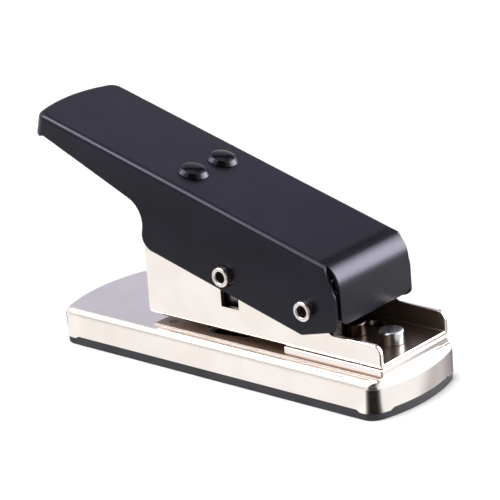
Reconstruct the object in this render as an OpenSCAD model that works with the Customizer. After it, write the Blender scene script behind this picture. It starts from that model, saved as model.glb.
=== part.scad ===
// Guitar pick punch: a lever handle drives a pick-shaped punch down through a die on a hollow base.
// +X points to the open front end, +Z is up, and the mat's underside lies on z = 0.

/* [Base] */
// Length of the base over its bowed ends
base_l = 127; // [118:1:140]
// Width of the base
base_w = 40; // [38:0.5:50]
// Plan radius of each bowed end
end_r = 54; // [46:1:80]
// Plan radius of the base corners
corner_r = 5; // [4:0.5:8]
// Height of the drawn steel shell
shell_h = 8.7; // [7.5:0.1:12]
// Sheet thickness of the shell
shell_t = 1; // [0.8:0.1:1.2]
// Thickness of the shell at its bowed ends
shell_end_t = 1.6; // [1.4:0.1:2]
// Radius of the shell's top edge
shell_edge_r = 2.4; // [1.6:0.1:3]
// Height of the mat below the shell
mat_h = 2.8; // [2.4:0.1:4]
// How far the mat stands inside the shell's outline
mat_inset = 0.2; // [0:0.05:0.5]
// Height of the rim by which the mat is pushed into the shell
mat_rim_h = 2.2; // [1.5:0.1:3]
// Thickness of that rim
mat_rim_t = 1.6; // [1.2:0.1:2]
// How far the shell's corners reach down into the mat as feet
foot_drop = 0.6; // [0.4:0.1:0.8]
// How far a foot runs on from the corner's round along the side and the end
foot_run = 1.6; // [1:0.1:3]
// Gap between the shell and the mat from foot to foot
edge_gap = 0.1; // [0.05:0.05:0.3]

/* [Die stack] */
// How far the die plate stands out beside the frame
die_margin = 0.5; // [0.2:0.1:1]
// Thickness of the die plate
die_t = 0.75; // [0.6:0.05:1.5]
// How far the spacer stands in beside the frame
spacer_inset = 0.3; // [0.1:0.1:1]
// Length of the spacer, back from the frame's front edge
spacer_l = 35.7; // [34:0.1:37]
// Height of the throat that takes the card
throat = 2.25; // [1.5:0.05:3]
// Thickness of the plate that backs the die inside the base
backing_t = 2; // [1.5:0.1:2.5]

/* [Frame] */
// Room beside the pick inside the channel frame
frame_room = 1.5; // [1.3:0.1:2]
// Length of the frame behind the rear spring
frame_tail = 11.63; // [9:0.01:14]
// Sheet thickness of the frame
frame_t = 1.5; // [1.2:0.1:1.6]
// Outside radius of the frame's bends
frame_bend_r = 2; // [1.7:0.1:2.5]
// How far the frame's front edge stands back from the base's front end
front_setback = 3; // [2.5:0.1:5]
// Height of the frame's walls at the rear end
wall_rear_h = 21.1; // [19:0.1:22]
// Height of the frame's walls above the pivot
wall_over = 11.22; // [10.6:0.02:12]
// Distance of the walls' shoulder behind the drive pin
shoulder_back = 9; // [7:0.1:12]
// Height of the low front lips
lip_h = 7.4; // [6.5:0.1:8]
// How far the walls run on ahead of the pivot to the low lips
step_lead = 6.2; // [5.6:0.1:6.6]
// Radius of the lips' front corners
lip_r = 3; // [1.5:0.1:4]

/* [Pins] */
// Outside diameter of the two hollow pins
pin_d = 6; // [5.5:0.1:6.4]
// Bore of the hollow pins
pin_bore = 3.5; // [2.5:0.1:4]
// How far the pins stand out of the handle
pin_out = 2.2; // [1.5:0.1:3]
// Distance of the pivot from the frame's front edge
pivot_setback = 24.8; // [24.4:0.1:26]
// Height of the pivot above the frame's underside
pivot_h = 14.28; // [13.8:0.02:14.8]
// Gap between the crosshead's arm and the pivot's sleeve
arm_gap = 1.67; // [1:0.01:3]
// Height of the drive pin above the pivot, with the handle raised
drive_rise = 4.69; // [4.4:0.01:5]
// Angle through which the handle is pressed
press_angle = 14; // [10:0.5:14.5]
// Diameter of the sleeve that keeps the walls apart on the pivot
sleeve_d = 8.6; // [7.5:0.1:9]

/* [Handle] */
// Gap between frame and handle on each side
handle_gap = 0.5; // [0.35:0.05:0.8]
// Sheet thickness of the handle
handle_t = 1.2; // [0.8:0.1:1.2]
// Outside radius of the handle's bends
handle_bend_r = 1.8; // [1.5:0.1:2.2]
// Slope of the raised handle
handle_tilt = 15.3; // [14.5:0.1:16]
// Room between the walls and the inside of the handle's top
wall_room = 3.51; // [3:0.01:4.5]
// Depth of the flanges below the pivot
flange_drop = 8.4; // [7.5:0.1:9]
// Distance of the grip's end behind the pivot
grip_l = 111.7; // [108:0.1:118]
// Depth of the grip's end
grip_end_h = 5.55; // [5:0.1:7]
// Plan radius of the grip's bowed end
grip_bow_r = 55; // [45:1:80]
// Plan radius of the grip's corners
grip_corner_r = 4; // [3:0.1:6]
// Angle by which the grip's lower edge falls towards the front
grip_slope = 8; // [6:0.1:9]
// Distance of the flanges' rear edge behind the pivot
flange_back = 62.5; // [60:0.1:64]
// Radius of the hollow corner where the flange runs into the grip
grip_hollow_r = 8; // [6:0.5:8.5]
// Radius of the flanges' rear lower corner
flange_heel_r = 4.6; // [3:0.1:4.8]
// Reach of the front flap's foot ahead of the walls
flap_room = 6.1; // [5.3:0.01:7]
// Radius of the flap's lower corners
flap_corner_r = 2.5; // [1:0.1:4]
// Angle at which the front flap leans
flap_lean = 16.3; // [15.5:0.1:19]
// Radius of the front curl
curl_r = 8.8; // [6:0.1:10]
// Width of the slit between flap and flange
slit_w = 0.6; // [0.4:0.1:1.2]
// Diameter of the rivet heads on the handle
grip_rivet_d = 9.4; // [8:0.1:11]
// Height of the slanted skirt of those heads
grip_skirt_h = 1.45; // [1:0.05:1.8]
// How far that skirt slants in
grip_skirt_in = 0.9; // [0.5:0.05:1.2]
// Height of the dome above the skirt
grip_dome_h = 0.75; // [0.4:0.05:1]
// Distance between the two handle rivets
grip_rivet_gap = 13.2; // [12:0.1:16]
// Distance of the handle rivets behind the pivot
grip_rivet_back = 55.1; // [50:0.1:60]
// Length of the stiffener under the handle's top
stiffener_l = 62; // [40:1:64]
// Thickness of that stiffener
stiffener_t = 2; // [1.2:0.1:2.2]

/* [Punch] */
// Width of the pick
pick_w = 26; // [23:0.1:26.2]
// Radius of the pick's tip
pick_tip_r = 3.5; // [2.5:0.1:5]
// Radius of the pick's shoulders
pick_shoulder_r = 4.7; // [3.5:0.1:5.5]
// Distance of the pick's tip ahead of the drive pin
pick_tip_reach = 15; // [13:0.1:15.4]
// Distance of the shoulder centres behind the drive pin
pick_shoulder_back = 9.5; // [8:0.1:9.8]
// Radius of the pick's bowed sides
pick_side_r = 34; // [28:1:50]
// Height of the raised punch's face above the frame's underside
punch_rise = 0.5; // [0.3:0.1:1]
// Gap between crosshead and guide plate at the end of the stroke
stop_gap = 0.59; // [0.4:0.01:1.5]
// Thickness of the plate that guides the punch
guide_t = 3; // [2:0.1:3.2]
// Length of the crosshead's block
head_l = 26; // [24:0.5:28]
// Width of the crosshead's block
head_w = 18; // [14:0.5:22]
// Height of the crosshead's arms
arm_h = 5.5; // [4:0.1:6]
// Height of the arms' middle above the drive pin
arm_rise = 2; // [1:0.1:2.5]
// Width of the crosshead's arms
arm_w = 9; // [7:0.1:10]
// Outside diameter of the return springs
spring_d = 7; // [6:0.1:7.6]
// Wire diameter of the return springs
wire_d = 0.9; // [0.6:0.05:1]
// Number of curls in each return spring
spring_turns = 4.5; // [3:0.5:5]
// Room between each return spring and the punch
spring_room = 1.7; // [1.2:0.1:2.5]

/* [Fasteners] */
// Head diameter of the clamp posts on the frame floor
post_d = 7.4; // [6.5:0.1:8]
// Head height of the clamp posts
post_h = 4.06; // [3:0.02:5]
// Chamfer of the clamp posts' heads
post_chamfer = 0.4; // [0.2:0.05:0.8]
// Diameter of the clamp posts' shanks
post_shank_d = 4.6; // [4:0.1:5]
// Distance of the front clamp post from the frame's front edge
post_setback = 8.35; // [7:0.05:9]
// Distance between the two clamp posts
post_pitch = 13.6; // [12:0.1:15]
// Diameter of the dowels beside the rear post
dowel_d = 5; // [4:0.1:5.5]
// Distance between the two dowels
dowel_gap = 18.8; // [17:0.1:20]
// How far the dowels lie below the frame's floor
dowel_sink = 0.6; // [0.2:0.1:1]
// Diameter of the small flush rivets
rivet_d = 3; // [2.4:0.1:3.2]
// Thread diameter of the punch screws
screw_d = 4; // [3:0.5:4]
// Distance of each punch screw from the crosshead's end
screw_inset = 4.8; // [4.4:0.1:5.5]
// How deep the punch screws reach into the punch
screw_grip = 7; // [5:0.5:9]

/* [Fits] */
// Running clearance of the handle on the pivot pin, on radius
pivot_fit = 0.05; // [0.02:0.01:0.1]
// Clearance of the punch in the guide, floor and die, all round
punch_gap = 0.3; // [0.2:0.05:0.4]
// Clearance of the drive pin in its slots, all round
slot_gap = 0.35; // [0.3:0.05:0.45]
// Clearance of the mat's rim inside the shell
rim_gap = 0.15; // [0.05:0.05:0.3]
// How much wider the drop hole under the die is than the die, all round
drop_gap = 0.8; // [0.5:0.1:1.2]
// Side clearance of the guide plate in the frame
guide_gap = 0.2; // [0.1:0.05:0.4]

/* [Hidden] */
$fn = 64;
// How far cutters run past the faces they cut, and how far an edge cutter's arc stands off them
past = 1;
stand_off = 0.02;

// Widths that follow the pick
frame_w = pick_w + 2 * (frame_room + frame_t);
die_w = frame_w + 2 * die_margin;
spacer_w = frame_w - 2 * spacer_inset;
backing_w = frame_w;
handle_w = frame_w + 2 * (handle_gap + handle_t);

// Lengths that follow the pick, the springs and the sleeve
pick_heel = pick_side_r + pick_shoulder_back
    - sqrt(pow(pick_side_r - pick_shoulder_r, 2) - pow(pick_w / 2 - pick_shoulder_r, 2));
spring_reach = max(pick_tip_reach, pick_heel) + spring_room + spring_d / 2;
drive_back = spring_reach + spring_d / 2 + arm_gap + sleeve_d / 2;

// Heights of the stack
shell_top = mat_h + shell_h;
shell_in_top = shell_top - shell_t;
foot_low = mat_h - foot_drop;
edge_low = mat_h + edge_gap;
die_top = shell_top + die_t;
frame_z = die_top + throat;
floor_z = frame_z + frame_t;
guide_top = floor_z + guide_t;
backing_z = shell_in_top - backing_t;

// Places along the length
front_x = base_l / 2 - front_setback;
pivot_x = front_x - pivot_setback;
pivot_z = frame_z + pivot_h;
drive_x = pivot_x - drive_back;
drive_z = pivot_z + drive_rise;
spring_xs = [drive_x - spring_reach, drive_x + spring_reach];
rear_x = spring_xs[0] - frame_tail;
frame_l = front_x - rear_x;
die_back = 2.1;
die_x0 = rear_x + die_back;
wall_h = pivot_h + wall_over;
step_x = pivot_x + step_lead;
pin_r = pin_d / 2;
pin_l = handle_w + 2 * pin_out;

// The drive pin's radius and angle about the pivot, and its travel when the handle is pressed
drive_r = norm([drive_back, drive_rise]);
drive_a = atan2(drive_rise, drive_back);
travel = drive_r * (sin(drive_a) - sin(drive_a - press_angle));
drive_slack = drive_r * (1 - cos(drive_a));
slot_d = pin_d + 2 * slot_gap;
slot_low = drive_z - pin_r - travel - slot_gap;
slot_high = drive_z + slot_d / 2;

// Handle sizes in its own frame, with the pivot at the origin and the top level
handle_top = wall_over + wall_room + handle_t;
handle_in_w = handle_w - 2 * handle_t;
flap_reach = step_lead + flap_room;
flap_w = handle_in_w - 2 * slit_w;
curl_turn = 90 - flap_lean;
curl_low = handle_top - curl_r * (1 - cos(curl_turn));
curl_end = flap_reach - curl_low * tan(flap_lean);
curl_x = curl_end - curl_r * sin(curl_turn);
flange_front_low = -1.6;
flange_toe = 0.1;
// Place of the flap's face at height w in the handle's frame
function flap_x(w) = flap_reach - w * tan(flap_lean);
grip_shank_d = rivet_d * 1.5;
stiffener_z = handle_top - handle_t - stiffener_t;
drive_u = -drive_back * cos(handle_tilt) - drive_rise * sin(handle_tilt);
drive_w = -drive_back * sin(handle_tilt) + drive_rise * cos(handle_tilt);

// Crosshead heights
punch_z = frame_z + punch_rise;
punch_top = guide_top + travel + stop_gap;
punch_h = punch_top - punch_z;
arm_z = drive_z + arm_rise - arm_h / 2;
arm_top = arm_z + arm_h;

// Centre of a bowed end's arc and of the circle that rounds its corner
function bow_centre(l, er) = l / 2 - er;
function corner_centre(l, w, er, cr) =
    let (y = w / 2 - cr)
    [bow_centre(l, er) + sqrt(pow(er - cr, 2) - y * y), y];

// Everything behind a front bow of radius er
module behind_bow(l, w, er) {
    cx = bow_centre(l, er);
    translate([cx, 0]) circle(r = er);
    translate([cx - 2 * l, -w]) square([2 * l, 2 * w]);
}

// Piece between the front bow's corner and the circle that rounds it
module bow_corner(l, w, er, cr) {
    o = corner_centre(l, w, er, cr);
    out = (o - [bow_centre(l, er), 0]) / (er - cr);
    reach = 2 * cr;
    translate(o)
        difference() {
            polygon([[0, 0], [0, reach], (out + [0, 1]) * reach, out * reach]);
            circle(r = cr + stand_off);
        }
}

// Plan with straight sides, bowed ends and round corners
module bowed_plan(l, w, er, cr) {
    difference() {
        intersection() {
            square([2 * l, w], center = true);
            behind_bow(l, w, er);
            mirror([1, 0]) behind_bow(l, w, er);
        }
        for (s = [0, 1], t = [0, 1])
            mirror([s, 0]) mirror([0, t]) bow_corner(l, w, er, cr);
    }
}

// Solid block with the bowed plan, its long top edges rounded
module bowed_block(l, w, er, cr, h, r) {
    half = w / 2 + stand_off;
    intersection() {
        linear_extrude(h + past) bowed_plan(l, w, er, cr);
        rotate([90, 0, 90])
            translate([0, 0, -l])
                linear_extrude(2 * l)
                    rounded_outline([[-half, -past, 0], [half, -past, 0], [half, h, r], [-half, h, r]]);
    }
}

// Cutter that rounds the top edge of a block's front bow
module bow_edge_cutter(l, er, h, r) {
    sweep = 80;
    translate([bow_centre(l, er), 0, 0])
        rotate([0, 0, -sweep / 2])
            rotate_extrude(angle = sweep)
                difference() {
                    translate([er - r, h - r]) square(r + past);
                    translate([er - r, h - r]) circle(r = r + stand_off);
                }
}

// Piece between corner b of the path a-b-c and the arc of radius r that rounds it
module corner_piece(a, b, c, r) {
    u = (a - b) / norm(a - b);
    v = (c - b) / norm(c - b);
    half = acos(u * v) / 2;
    m = (u + v) / norm(u + v);
    o = b + m * r / sin(half);
    difference() {
        polygon([b + u * r / tan(half), b - m * r / 4, b + v * r / tan(half), o]);
        translate(o) circle(r = r + stand_off);
    }
}

// Convex polygon whose corners are rounded, each point being [x, y, radius]
module rounded_outline(points) {
    n = len(points);
    xy = [for (p = points) [p[0], p[1]]];
    difference() {
        polygon(xy);
        for (i = [0 : n - 1])
            if (points[i][2] > 0)
                corner_piece(xy[(i + n - 1) % n], xy[i], xy[(i + 1) % n], points[i][2]);
    }
}

// Extrudes an outline drawn in X and Z across the width w
module across(w) {
    rotate([90, 0, 0])
        translate([0, 0, -w / 2])
            linear_extrude(w) children();
}

// Centre of the arc of radius rs that runs round corner circles a and b
function arc_centre(a, ra, b, rb, rs) =
    let (
        da = rs - ra,
        d = norm(b - a),
        x = (da * da - pow(rs - rb, 2) + d * d) / (2 * d),
        u = (b - a) / d
    )
    a + u * x + [-u[1], u[0]] * sqrt(da * da - x * x);

// Pick outline about the drive pin, tip to the front, grown by g all round
module pick(g = 0) {
    shoulder_y = pick_w / 2 - pick_shoulder_r;
    corners = [
        [pick_tip_reach - pick_tip_r, 0, pick_tip_r],
        [-pick_shoulder_back, shoulder_y, pick_shoulder_r],
        [-pick_shoulder_back, -shoulder_y, pick_shoulder_r]
    ];
    reach = 1.4;
    polygon([for (c = corners) [c[0], c[1]]]);
    for (i = [0 : 2]) {
        c = corners[i];
        d = corners[(i + 1) % 3];
        a = [c[0], c[1]];
        b = [d[0], d[1]];
        o = arc_centre(a, c[2], b, d[2], pick_side_r);
        translate(a) circle(r = c[2] + g);
        intersection() {
            translate(o) circle(r = pick_side_r + g);
            polygon([a, o + (a - o) * reach, o + (b - o) * reach, b]);
        }
    }
}

// Upright prism of the pick at the drive pin's place
module pick_prism(z, h, g = 0) {
    translate([drive_x, 0, z])
        linear_extrude(h) pick(g);
}

// Places of the fasteners
post_xs = [front_x - post_setback, front_x - post_setback - post_pitch];
dowel_lead = 0.7;
dowel_x = post_xs[1] + dowel_lead;
rivet_inset = 3.2;
die_rivet_x = die_x0 + rivet_inset + past;
die_rivet_y = backing_w / 2 - rivet_inset;
guide_margin = 1;
guide_x0 = rear_x + 3 * guide_margin;
guide_x1 = drive_x + spring_reach + spring_d / 2 + guide_margin;
guide_w = frame_w - 2 * frame_t - 2 * guide_gap;
guide_rivet_xs = [guide_x0 + rivet_inset, guide_x1 - rivet_inset];
guide_rivet_y = guide_w / 2 - rivet_inset;
screw_reach = head_l / 2 - screw_inset;
screw_xs = [drive_x - screw_reach, drive_x + screw_reach];
screw_head_d = screw_d * 1.75;
screw_head_h = screw_d;
screw_z = punch_top - screw_grip;

// Repeats children at each clamp post
module at_posts() {
    for (x = post_xs)
        translate([x, 0, 0]) children();
}

// Repeats children at each dowel
module at_dowels() {
    for (s = [-1, 1])
        translate([dowel_x, s * dowel_gap / 2, 0]) children();
}

// Repeats children at each die rivet
module at_die_rivets() {
    for (s = [-1, 1])
        translate([die_rivet_x, s * die_rivet_y, 0]) children();
}

// Repeats children at each guide rivet
module at_guide_rivets() {
    for (x = guide_rivet_xs, s = [-1, 1])
        translate([x, s * guide_rivet_y, 0]) children();
}

// Repeats children at each punch screw
module at_screws() {
    for (x = screw_xs)
        translate([x, 0, 0]) children();
}

// Drill of diameter d through a plate from z up by h
module drill(d, z, h) {
    translate([0, 0, z - past]) cylinder(d = d, h = h + 2 * past);
}

// Holes for the posts, dowels and die rivets through a plate from z up by h
module stack_holes(z, h, with_rivets = true) {
    at_posts() drill(post_shank_d, z, h);
    at_dowels() drill(dowel_d, z, h);
    if (with_rivets)
        at_die_rivets() drill(rivet_d, z, h);
}

// Pick-shaped cutter through a plate from z up by h
module pick_cutter(z, h, g) {
    pick_prism(z - past, h + 2 * past, g);
}

// Cylinder lying across the width
module cross_cylinder(d, l) {
    rotate([90, 0, 0]) cylinder(d = d, h = l, center = true);
}

// Hollow pin lying across the width
module hollow_pin() {
    difference() {
        cross_cylinder(pin_d, pin_l);
        cross_cylinder(pin_bore, pin_l + 2 * past);
    }
}

// Outline with round ends, between two points, of width d
module round_slot(a, b, d) {
    n = [a[1] - b[1], b[0] - a[0]] / norm(b - a) * (d / 2 - stand_off);
    translate(a) circle(d = d);
    translate(b) circle(d = d);
    polygon([a + n, a - n, b - n, b + n]);
}

// What the shell's lower edge stands back by between the feet at x = -run and run, across the width w
module edge_relief(run, w) {
    rotate([90, 0, 0])
        linear_extrude(w, center = true)
            polygon([[-run - foot_drop, foot_low - past], [run + foot_drop, foot_low - past],
                [run - foot_drop, edge_low], [-run + foot_drop, edge_low]]);
}

// Notches in the mat's corners that take the shell's feet
module foot_notches() {
    at = corner_centre(base_l, base_w, end_r, corner_r);
    inset = shell_t + rim_gap / 2;
    end_inset = shell_end_t + rim_gap / 2;
    back = foot_run + foot_drop;
    difference() {
        for (s = [0, 1], t = [0, 1])
            mirror([s, 0, 0])
                mirror([0, t, 0])
                    translate([at[0] - back, at[1] - back, foot_low])
                        cube([base_l / 2, base_w / 2, foot_drop + past]);
        translate([0, 0, foot_low - past])
            linear_extrude(foot_drop + 3 * past)
                bowed_plan(base_l - 2 * end_inset, base_w - 2 * inset, end_r - inset, corner_r - inset);
    }
}

module base_mat() {
    inset = shell_t + rim_gap;
    end_inset = shell_end_t + rim_gap;
    rim_l = base_l - 2 * end_inset;
    rim_w = base_w - 2 * inset;
    color("#3d3c42") {
        difference() {
            linear_extrude(mat_h)
                bowed_plan(base_l - 2 * mat_inset, base_w - 2 * mat_inset, end_r - mat_inset,
                    corner_r - mat_inset);
            foot_notches();
        }
        translate([0, 0, mat_h])
            linear_extrude(mat_rim_h)
                difference() {
                    bowed_plan(rim_l, rim_w, end_r - inset, corner_r - inset);
                    bowed_plan(rim_l - 2 * mat_rim_t, rim_w - 2 * mat_rim_t, end_r - inset - mat_rim_t,
                        corner_r - inset - mat_rim_t);
                }
    }
}

module base_shell() {
    at = corner_centre(base_l, base_w, end_r, corner_r);
    color("#e9e4e2")
        difference() {
            translate([0, 0, foot_low])
                bowed_block(base_l, base_w, end_r, corner_r, shell_h + foot_drop, shell_edge_r);
            for (s = [0, 1])
                mirror([s, 0, 0])
                    translate([0, 0, mat_h]) bow_edge_cutter(base_l, end_r, shell_h, shell_edge_r);
            translate([0, 0, foot_low - past])
                bowed_block(base_l - 2 * shell_end_t, base_w - 2 * shell_t, end_r - shell_t,
                    corner_r - shell_t, shell_h + foot_drop - shell_t + past, shell_edge_r - shell_t);
            edge_relief(at[0] - foot_run, 2 * base_w);
            rotate([0, 0, 90]) edge_relief(at[1] - foot_run, 2 * base_l);
            pick_cutter(shell_in_top, shell_t, punch_gap + drop_gap);
            stack_holes(shell_in_top, shell_t);
        }
}

module backing_plate() {
    color("#9a9aa0")
        difference() {
            translate([die_x0, -backing_w / 2, backing_z])
                cube([front_x - die_x0 - front_setback, backing_w, backing_t]);
            pick_cutter(backing_z, backing_t, punch_gap + drop_gap);
            stack_holes(backing_z, backing_t);
        }
}

module die_plate() {
    color("#d8d2cf")
        difference() {
            translate([die_x0, -die_w / 2, shell_top])
                cube([front_x - die_x0, die_w, die_t]);
            pick_cutter(shell_top, die_t, punch_gap);
            stack_holes(shell_top, die_t);
        }
}

module die_rivets() {
    head_h = 1;
    color("#c9c6c6")
        at_die_rivets() {
            translate([0, 0, backing_z]) cylinder(d = rivet_d, h = die_top - backing_z);
            translate([0, 0, backing_z - head_h]) cylinder(d = rivet_d * 1.7, h = head_h);
        }
}

module spacer_plate() {
    color("#e4dbd6")
        difference() {
            translate([front_x - spacer_l, -spacer_w / 2, die_top])
                cube([spacer_l, spacer_w, throat]);
            stack_holes(die_top, throat, false);
        }
}

// Section of the channel frame, drawn in Y and Z
module frame_section() {
    in_r = frame_bend_r - frame_t;
    difference() {
        rounded_outline([
            [-frame_w / 2, 0, frame_bend_r], [frame_w / 2, 0, frame_bend_r],
            [frame_w / 2, wall_h, 0], [-frame_w / 2, wall_h, 0]
        ]);
        rounded_outline([
            [-frame_w / 2 + frame_t, frame_t, in_r], [frame_w / 2 - frame_t, frame_t, in_r],
            [frame_w / 2 - frame_t, wall_h + past, 0], [-frame_w / 2 + frame_t, wall_h + past, 0]
        ]);
    }
}

// Side outline of the frame, drawn in X and Z from the frame's underside
module frame_outline() {
    heel_r = 2.4;
    step_r = 2;
    rear_tip_r = 0.5;
    shoulder = [drive_x - shoulder_back, wall_h];
    step_top = [step_x, wall_h];
    step_low = [step_x, lip_h];
    lip_end = [front_x, lip_h];
    difference() {
        rounded_outline([
            [rear_x, 0, heel_r], [front_x, 0, 0], [front_x, wall_h, 0],
            [shoulder[0], shoulder[1], step_r], [rear_x, wall_rear_h, rear_tip_r]
        ]);
        rounded_outline([
            [step_x, lip_h, step_r], [front_x + past, lip_h, 0],
            [front_x + past, wall_h + past, 0], [step_x, wall_h + past, 0]
        ]);
        corner_piece([front_x, 0], lip_end, step_low, lip_r);
        corner_piece(step_low, step_top, shoulder, step_r);
    }
}

module frame() {
    hole_l = frame_w + 2 * past;
    color("#efe6df")
        difference() {
            intersection() {
                translate([rear_x - past, 0, frame_z])
                    rotate([90, 0, 90])
                        linear_extrude(frame_l + 2 * past) frame_section();
                translate([0, 0, frame_z]) across(hole_l) frame_outline();
            }
            translate([pivot_x, 0, pivot_z]) cross_cylinder(pin_d, hole_l);
            across(hole_l) {
                translate([drive_x - slot_d / 2, slot_low])
                    square([slot_d, slot_high - slot_low - slot_d / 2]);
                translate([drive_x, slot_high - slot_d / 2]) circle(d = slot_d);
            }
            pick_cutter(frame_z, frame_t, punch_gap);
            stack_holes(frame_z, frame_t, false);
            at_guide_rivets() drill(rivet_d, frame_z, frame_t);
        }
}

module clamp_posts() {
    foot_h = 1.5;
    foot_d = post_shank_d * 1.65;
    color("#cfcac8")
        at_posts() {
            translate([0, 0, backing_z]) cylinder(d = post_shank_d, h = floor_z - backing_z);
            translate([0, 0, backing_z - foot_h]) cylinder(d = foot_d, h = foot_h);
            translate([0, 0, floor_z]) cylinder(d = post_d, h = post_h - post_chamfer);
            translate([0, 0, floor_z + post_h - post_chamfer])
                cylinder(d1 = post_d, d2 = post_d - 2 * post_chamfer, h = post_chamfer);
        }
}

module dowels() {
    color("#b9b4b2")
        at_dowels()
            translate([0, 0, backing_z]) cylinder(d = dowel_d, h = floor_z - dowel_sink - backing_z);
}

module guide_plate() {
    color("#b4b1b0")
        difference() {
            translate([guide_x0, -guide_w / 2, floor_z])
                cube([guide_x1 - guide_x0, guide_w, guide_t]);
            pick_cutter(floor_z, guide_t, punch_gap);
            at_guide_rivets() drill(rivet_d, floor_z, guide_t);
            for (x = spring_xs)
                translate([x, 0, 0]) drill(rivet_d, floor_z, guide_t);
        }
}

module guide_rivets() {
    color("#c9c6c6")
        at_guide_rivets()
            translate([0, 0, frame_z]) cylinder(d = rivet_d, h = frame_t + guide_t);
}

module spring_posts() {
    post_gap = 0.35;
    stem_h = 3;
    color("#c9c6c6")
        for (x = spring_xs)
            translate([x, 0, 0]) {
                translate([0, 0, floor_z]) cylinder(d = rivet_d, h = guide_t);
                translate([0, 0, guide_top])
                    cylinder(d = spring_d - 2 * wire_d - 2 * post_gap, h = stem_h);
            }
}

// Centre line of a return spring: straight ends square to both seats, and a steady helix between
spring_steps = 8;
spring_z0 = guide_top;
spring_z1 = arm_z;
spring_rise = spring_z1 - spring_z0 - 2 * wire_d;
spring_r = (spring_d - wire_d) / 2;
function helix_point(turn, z) = [spring_r * cos(360 * turn), spring_r * sin(360 * turn), z];
spring_path = concat(
    [helix_point(0, spring_z0)],
    [for (i = [0 : spring_turns * spring_steps])
        helix_point(i / spring_steps, spring_z0 + wire_d + spring_rise * i / (spring_turns * spring_steps))],
    [helix_point(spring_turns, spring_z1)]
);

// Ring of tube points at path point i, with its first spoke turned away from the spring's axis
function tangent(p, i) =
    i == 0 || i == len(p) - 1
        ? [0, 0, 1]
        : let (d = p[i + 1] - p[i - 1]) d / norm(d);
function tube_ring(p, i, sides) =
    let (
        t = tangent(p, i),
        out = [p[i][0], p[i][1], 0] / spring_r,
        flat = out - t * (out * t),
        n = flat / norm(flat),
        b = cross(t, n)
    )
    [for (k = [0 : sides - 1]) p[i] + (n * cos(360 * k / sides) + b * sin(360 * k / sides)) * wire_d / 2];

// Least gap between curls, measured on path points half a turn or more apart
function spring_gap() =
    let (n = len(spring_path), skip = spring_steps / 2)
    min([for (i = [0 : n - 1], j = [0 : n - 1]) if (j - i >= skip) norm(spring_path[i] - spring_path[j])])
    - wire_d;

module return_spring(x) {
    sides = 6;
    rings = len(spring_path);
    points = [for (i = [0 : rings - 1]) each tube_ring(spring_path, i, sides)];
    walls = [for (i = [0 : rings - 2], k = [0 : sides - 1])
        let (
            a = i * sides + k,
            b = i * sides + (k + 1) % sides
        )
        each [[a, b + sides, b], [a, a + sides, b + sides]]];
    caps = [for (k = [1 : sides - 2])
        each [[0, k, k + 1], [(rings - 1) * sides, (rings - 1) * sides + k + 1, (rings - 1) * sides + k]]];
    echo(least_spring_gap = spring_gap());
    color("#bdbbbd")
        translate([x, 0, 0]) polyhedron(points, concat(walls, caps));
}

module rear_return_spring() {
    return_spring(spring_xs[0]);
}

module front_return_spring() {
    return_spring(spring_xs[1]);
}

module pivot_pin() {
    color("#e6dfd6")
        translate([pivot_x, 0, pivot_z]) hollow_pin();
}

module pivot_sleeve() {
    sleeve_l = frame_w - 2 * frame_t;
    color("#b9b4b2")
        translate([pivot_x, 0, pivot_z])
            difference() {
                cross_cylinder(sleeve_d, sleeve_l);
                cross_cylinder(pin_d, sleeve_l + 2 * past);
            }
}

// Places children, drawn with the pivot at the origin and the top level, as the raised handle
module on_handle() {
    translate([pivot_x, 0, pivot_z])
        rotate([0, handle_tilt, 0]) children();
}

// Side outline of the handle's flanges in its own frame
module flange_outline() {
    toe_r = 1.5;
    chin_r = 2.2;
    inside = 1;
    relief_r = curl_r + 2 * inside;
    top = handle_top + 2 * stand_off;
    far = -grip_l - 5 * past;
    toe = [flange_toe, -flange_drop];
    heel = [-flange_back, -flange_drop];
    grip_low = handle_top - grip_end_h;
    meet = [-flange_back, grip_low - (grip_l - flange_back) * tan(grip_slope)];
    behind = far - past;
    below = -flange_drop - past;
    heel_room = meet[1] + flange_drop - grip_hollow_r / tan(45 + grip_slope / 2);
    difference() {
        rounded_outline([
            [far, -flange_drop, 0],
            [toe[0], toe[1], toe_r],
            [flap_x(flange_front_low) - inside, flange_front_low, chin_r],
            [flap_x(top) - inside, top, relief_r],
            [far, top, 0]
        ]);
        rounded_outline([
            [meet[0], meet[1], grip_hollow_r],
            [behind, grip_low - (grip_l + behind) * tan(grip_slope), 0],
            [behind, below, 0],
            [-flange_back, below, 0]
        ]);
        corner_piece(meet, heel, toe, min(flange_heel_r, heel_room - stand_off));
    }
}

// Drawn handle block before its flanges are trimmed, shrunk by g all round and open below
handle_block_l = grip_l + 2 * grip_bow_r;
handle_depth = handle_top + flange_drop + past;
module handle_block(g, low = 0) {
    translate([0, 0, low])
        bowed_block(handle_block_l - 2 * g, handle_w - 2 * g, grip_bow_r - g, grip_corner_r - g,
            handle_depth - g - low, handle_bend_r - g);
}

// Front curl and flap as a bent strip, drawn in X and Z, running back under the top
module curl_strip() {
    lap = 3;
    low = -past;
    in_top = handle_top - handle_t;
    in_shift = handle_t / cos(flap_lean);
    difference() {
        rounded_outline([
            [curl_x - lap, low, 0], [flap_x(low), low, 0], [flap_x(handle_top), handle_top, curl_r],
            [curl_x - lap, handle_top, 0]
        ]);
        rounded_outline([
            [curl_x - lap - past, low - past, 0], [flap_x(low - past) - in_shift, low - past, 0],
            [flap_x(in_top) - in_shift, in_top, curl_r - handle_t], [curl_x - lap - past, in_top, 0]
        ]);
    }
}

// The same strip across the width, with its lower corners round
module curl_and_flap() {
    half = flap_w / 2;
    above = handle_top + past;
    intersection() {
        across(handle_w) curl_strip();
        rotate([90, 0, 90])
            translate([0, 0, -handle_w])
                linear_extrude(2 * handle_w)
                    rounded_outline([
                        [-half, 0, flap_corner_r], [half, 0, flap_corner_r],
                        [half, above, 0], [-half, above, 0]
                    ]);
    }
}

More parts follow.
